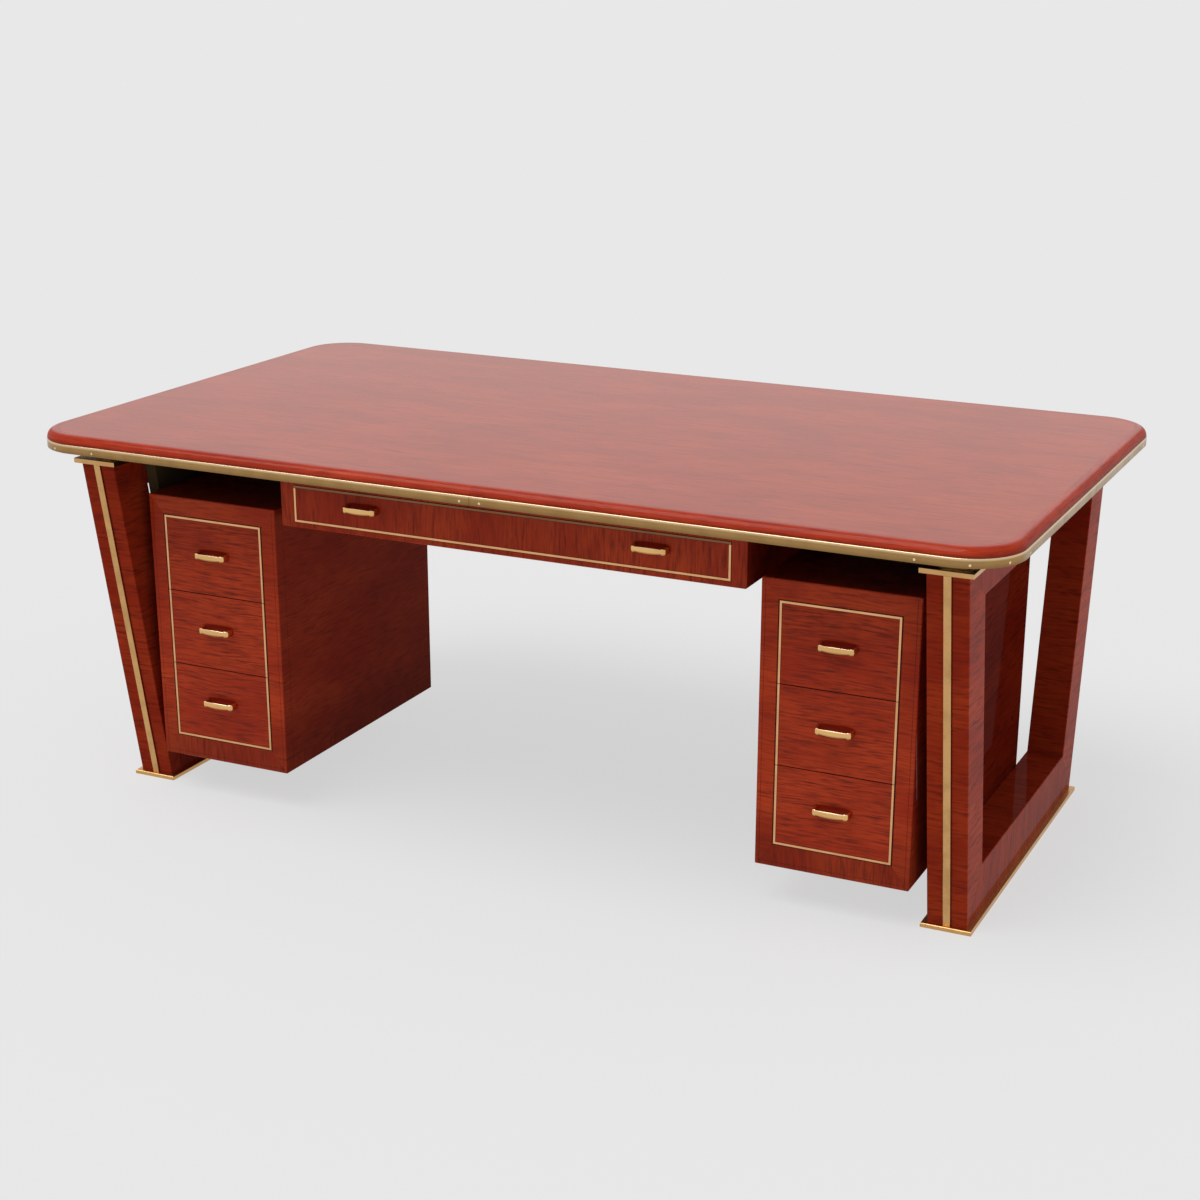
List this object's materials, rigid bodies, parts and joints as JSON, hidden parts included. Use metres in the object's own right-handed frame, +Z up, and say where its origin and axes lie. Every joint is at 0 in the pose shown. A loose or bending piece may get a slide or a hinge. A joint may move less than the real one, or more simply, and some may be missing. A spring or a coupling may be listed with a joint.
{
  "type": "pedestal desk",
  "caption": "Writing desk with a rounded brass-banded top on leaning trapezium side frames, drawer pedestals hung clear of the floor and a shallow centre drawer over the kneehole.",
  "frame": {"origin": "On the floor, under the middle of the desktop.", "axes": "X along the desk to the sitter's right as seen from the front, Y from the front to the back, Z up. The drawers face -Y."},
  "size_m": [1.96, 1.1, 0.76],
  "materials": {
    "lacquered_wood": "gloss lacquer",
    "drawer_wood": "satin",
    "brass": "polished",
    "steel": "zinc plated"
  },
  "bodies": {
    "desk": {"centre_box_back": "lacquered_wood", "centre_box_bottom": "lacquered_wood", "centre_box_sides": "lacquered_wood", "centre_box_top_rail": "lacquered_wood", "cheeks": "lacquered_wood", "desktop_edge": "lacquered_wood", "desktop_panel": "lacquered_wood", "drawer_runners": "drawer_wood", "edge_band": "brass", "left_bottom_rail": "lacquered_wood", "left_foot_plate": "brass", "left_front_post": "lacquered_wood", "left_pedestal_back": "lacquered_wood", "left_pedestal_bottom": "lacquered_wood", "left_pedestal_sides": "lacquered_wood", "left_pedestal_top": "lacquered_wood", "left_rear_post": "lacquered_wood", "left_top_rail": "lacquered_wood", "mounting_bolts": "steel", "pedestal_hangers": "drawer_wood", "post_strips": "brass", "right_bottom_rail": "lacquered_wood", "right_foot_plate": "brass", "right_front_post": "lacquered_wood", "right_pedestal_back": "lacquered_wood", "right_pedestal_bottom": "lacquered_wood", "right_pedestal_sides": "lacquered_wood", "right_pedestal_top": "lacquered_wood", "right_rear_post": "lacquered_wood", "right_top_rail": "lacquered_wood", "risers": "lacquered_wood", "top_plates": "brass"},
    "centre_drawer": {"centre_drawer_front": "lacquered_wood", "centre_drawer_handles": "brass", "centre_drawer_tray": "drawer_wood", "centre_drawer_trim": "brass"},
    "left_lower_drawer": {"left_lower_drawer_front": "lacquered_wood", "left_lower_drawer_handle": "brass", "left_lower_drawer_tray": "drawer_wood", "left_lower_drawer_trim": "brass"},
    "left_middle_drawer": {"left_middle_drawer_front": "lacquered_wood", "left_middle_drawer_handle": "brass", "left_middle_drawer_tray": "drawer_wood", "left_middle_drawer_trim": "brass"},
    "left_upper_drawer": {"left_upper_drawer_front": "lacquered_wood", "left_upper_drawer_handle": "brass", "left_upper_drawer_tray": "drawer_wood", "left_upper_drawer_trim": "brass"},
    "right_lower_drawer": {"right_lower_drawer_front": "lacquered_wood", "right_lower_drawer_handle": "brass", "right_lower_drawer_tray": "drawer_wood", "right_lower_drawer_trim": "brass"},
    "right_middle_drawer": {"right_middle_drawer_front": "lacquered_wood", "right_middle_drawer_handle": "brass", "right_middle_drawer_tray": "drawer_wood", "right_middle_drawer_trim": "brass"},
    "right_upper_drawer": {"right_upper_drawer_front": "lacquered_wood", "right_upper_drawer_handle": "brass", "right_upper_drawer_tray": "drawer_wood", "right_upper_drawer_trim": "brass"}
  },
  "joints": [
    {"name": "left_lower_drawer_slide", "type": "slide", "parent": "desk", "child": "left_lower_drawer", "axis": [0, -1, 0], "range_m": [0, 0.38]},
    {"name": "left_middle_drawer_slide", "type": "slide", "parent": "desk", "child": "left_middle_drawer", "axis": [0, -1, 0], "range_m": [0, 0.38]},
    {"name": "left_upper_drawer_slide", "type": "slide", "parent": "desk", "child": "left_upper_drawer", "axis": [0, -1, 0], "range_m": [0, 0.38]},
    {"name": "right_lower_drawer_slide", "type": "slide", "parent": "desk", "child": "right_lower_drawer", "axis": [0, -1, 0], "range_m": [0, 0.38]},
    {"name": "right_middle_drawer_slide", "type": "slide", "parent": "desk", "child": "right_middle_drawer", "axis": [0, -1, 0], "range_m": [0, 0.38]},
    {"name": "right_upper_drawer_slide", "type": "slide", "parent": "desk", "child": "right_upper_drawer", "axis": [0, -1, 0], "range_m": [0, 0.38]},
    {"name": "centre_drawer_slide", "type": "slide", "parent": "desk", "child": "centre_drawer", "axis": [0, -1, 0], "range_m": [0, 0.28]}
  ]
}
